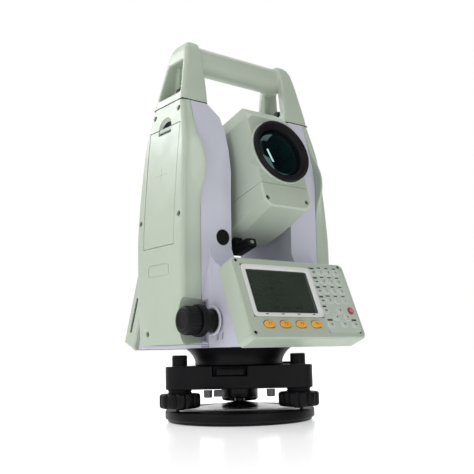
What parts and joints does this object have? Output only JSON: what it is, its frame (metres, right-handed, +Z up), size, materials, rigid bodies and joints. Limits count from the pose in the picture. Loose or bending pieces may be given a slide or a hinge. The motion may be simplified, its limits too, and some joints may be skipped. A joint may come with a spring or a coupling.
{
  "type": "surveying total station",
  "caption": "Surveying total station: levelling tribrach, alidade with front and rear keyboards, tilting telescope, side battery and carry handle.",
  "frame": {"origin": "on the vertical axis, at the underside of the tribrach's base plate", "axes": "+Z up along the vertical axis; X along the trunnion axis, -X the battery side; -Y towards the objective and the front keyboard"},
  "size_m": [0.1845, 0.2048, 0.3546],
  "materials": {
    "cover_green": "moulded satin, pale grey green",
    "frame_lavender": "satin lavender grey paint",
    "black_plastic": "satin black",
    "black_metal": "black anodised",
    "rubber_black": "matt rubber",
    "white_plastic": "smooth white",
    "key_yellow": "silicone, amber yellow",
    "key_red": "silicone, red",
    "key_mat": "silicone, pale grey",
    "screen_glass": "dark green liquid crystal behind glass",
    "steel": "ground",
    "brass": "turned",
    "lens_glass": "coated, teal reflection",
    "clear_glass": "clear",
    "circuit_board": "green solder mask"
  },
  "bodies": {
    "tribrach": {"base_plate": "black_plastic", "spring_plate": "steel", "centre_post": "black_metal", "tribrach_body": "black_plastic", "foot_screw_cap_a": "black_plastic", "foot_screw_cap_b": "black_plastic", "foot_screw_cap_c": "black_plastic", "circular_level_housing": "black_metal", "circular_level_vial": "clear_glass", "centring_flange": "black_plastic", "vertical_axis_shaft": "steel", "horizontal_circle": "clear_glass"},
    "clamp_lever": {"tribrach_clamp_lever": "black_plastic"},
    "foot_screw_a": {"foot_screw_a": "black_plastic"},
    "foot_screw_b": {"foot_screw_b": "black_plastic"},
    "foot_screw_c": {"foot_screw_c": "black_plastic"},
    "alidade": {"alidade_frame": "frame_lavender", "left_side_cover": "cover_green", "right_side_cover": "cover_green", "carry_handle": "cover_green", "handle_screw_left": "black_metal", "handle_screw_right": "black_metal", "vertical_plunger_cap": "black_plastic", "plate_level_holder": "black_metal", "plate_level_vial": "clear_glass", "data_socket": "steel", "main_circuit_board": "circuit_board", "trunnion_bearing_left": "brass", "trunnion_bearing_right": "brass", "front_display_housing": "cover_green", "front_screen_frame": "white_plastic", "front_screen": "screen_glass", "front_keypad": "key_mat", "rear_display_housing": "cover_green", "rear_screen_frame": "white_plastic", "rear_screen": "screen_glass", "rear_keypad": "key_mat"},
    "battery": {"battery_pack": "cover_green"},
    "battery_latch": {"battery_latch": "cover_green"},
    "horizontal_clamp": {"horizontal_clamp_ring": "black_plastic"},
    "horizontal_tangent": {"horizontal_tangent_knob": "black_plastic"},
    "vertical_clamp": {"vertical_clamp_ring": "black_plastic"},
    "vertical_tangent": {"vertical_tangent_knob": "black_plastic"},
    "port_cap": {"data_socket_cap": "rubber_black"},
    "telescope": {"telescope_housing": "cover_green", "telescope_lower_cover": "cover_green", "objective_ring": "black_plastic", "objective_lens": "lens_glass", "trunnion_left": "steel", "trunnion_right": "steel", "vertical_circle": "clear_glass", "sight_below": "black_plastic", "sight_above": "black_plastic"},
    "focus": {"focus_ring": "black_plastic"},
    "eyepiece": {"eyepiece": "black_plastic"},
    "power_key": {"front_power_key": "key_red"},
    "soft_key_1": {"front_soft_key_1": "key_yellow"},
    "soft_key_2": {"front_soft_key_2": "key_yellow"},
    "soft_key_3": {"front_soft_key_3": "key_yellow"},
    "soft_key_4": {"front_soft_key_4": "key_yellow"}
  },
  "joints": [
    {"name": "alidade_turn", "type": "hinge", "parent": "tribrach", "child": "alidade", "pos_m": [0, 0, 0.09], "axis": [0, 0, 1], "continuous": true},
    {"name": "telescope_tilt", "type": "hinge", "parent": "alidade", "child": "telescope", "pos_m": [0, 0, 0.2225], "axis": [1, 0, 0], "continuous": true},
    {"name": "foot_screw_a_turn", "type": "hinge", "parent": "tribrach", "child": "foot_screw_a", "pos_m": [-0.06097, 0.00879, 0.0186], "axis": [0, 0, 1], "range_deg": [-1800, 1800]},
    {"name": "foot_screw_b_turn", "type": "hinge", "parent": "tribrach", "child": "foot_screw_b", "pos_m": [0.02288, -0.0572, 0.0186], "axis": [0, 0, 1], "range_deg": [-1800, 1800]},
    {"name": "foot_screw_c_turn", "type": "hinge", "parent": "tribrach", "child": "foot_screw_c", "pos_m": [0.03809, 0.04841, 0.0186], "axis": [0, 0, 1], "range_deg": [-1800, 1800]},
    {"name": "clamp_lever_swing", "type": "hinge", "parent": "tribrach", "child": "clamp_lever", "pos_m": [-0.02161, -0.03313, 0.0448], "axis": [0, 0, 1], "range_deg": [0, 70]},
    {"name": "horizontal_clamp_turn", "type": "hinge", "parent": "alidade", "child": "horizontal_clamp", "pos_m": [-0.0613, -0.046, 0.089], "axis": [-1, 0, 0], "range_deg": [0, 60]},
    {"name": "horizontal_tangent_turn", "type": "hinge", "parent": "alidade", "child": "horizontal_tangent", "pos_m": [-0.0613, -0.046, 0.089], "axis": [-1, 0, 0], "range_deg": [-1080, 1080]},
    {"name": "vertical_clamp_turn", "type": "hinge", "parent": "alidade", "child": "vertical_clamp", "pos_m": [-0.0455, 0.0397, 0.1632], "axis": [0, 1, 0], "range_deg": [0, 60]},
    {"name": "vertical_tangent_turn", "type": "hinge", "parent": "alidade", "child": "vertical_tangent", "pos_m": [-0.0455, 0.0397, 0.1632], "axis": [0, 1, 0], "range_deg": [-1080, 1080]},
    {"name": "focus_turn", "type": "hinge", "parent": "telescope", "child": "focus", "pos_m": [0, 0, 0.2225], "axis": [0, -0.9636, 0.2672], "range_deg": [-150, 150]},
    {"name": "eyepiece_turn", "type": "hinge", "parent": "telescope", "child": "eyepiece", "pos_m": [0, 0, 0.2225], "axis": [0, -0.9636, 0.2672], "range_deg": [-180, 180]},
    {"name": "battery_tilt", "type": "hinge", "parent": "alidade", "child": "battery", "pos_m": [-0.08802, 0, 0.157], "axis": [0, -1, 0], "range_deg": [0, 28]},
    {"name": "latch_press", "type": "slide", "parent": "battery", "child": "battery_latch", "axis": [0, 0, -1], "range_m": [0, 0.002], "stiffness_N_per_m": 400},
    {"name": "port_cap_lift", "type": "hinge", "parent": "alidade", "child": "port_cap", "pos_m": [0.0887, 0, 0.1076], "axis": [0, -1, 0], "range_deg": [0, 90]},
    {"name": "power_key_press", "type": "slide", "parent": "alidade", "child": "power_key", "axis": [0, 0.9265, -0.3762], "range_m": [0, 0.001], "stiffness_N_per_m": 500},
    {"name": "soft_key_1_press", "type": "slide", "parent": "alidade", "child": "soft_key_1", "axis": [0, 0.9265, -0.3762], "range_m": [0, 0.001], "stiffness_N_per_m": 500},
    {"name": "soft_key_2_press", "type": "slide", "parent": "alidade", "child": "soft_key_2", "axis": [0, 0.9265, -0.3762], "range_m": [0, 0.001], "stiffness_N_per_m": 500},
    {"name": "soft_key_3_press", "type": "slide", "parent": "alidade", "child": "soft_key_3", "axis": [0, 0.9265, -0.3762], "range_m": [0, 0.001], "stiffness_N_per_m": 500},
    {"name": "soft_key_4_press", "type": "slide", "parent": "alidade", "child": "soft_key_4", "axis": [0, 0.9265, -0.3762], "range_m": [0, 0.001], "stiffness_N_per_m": 500}
  ]
}
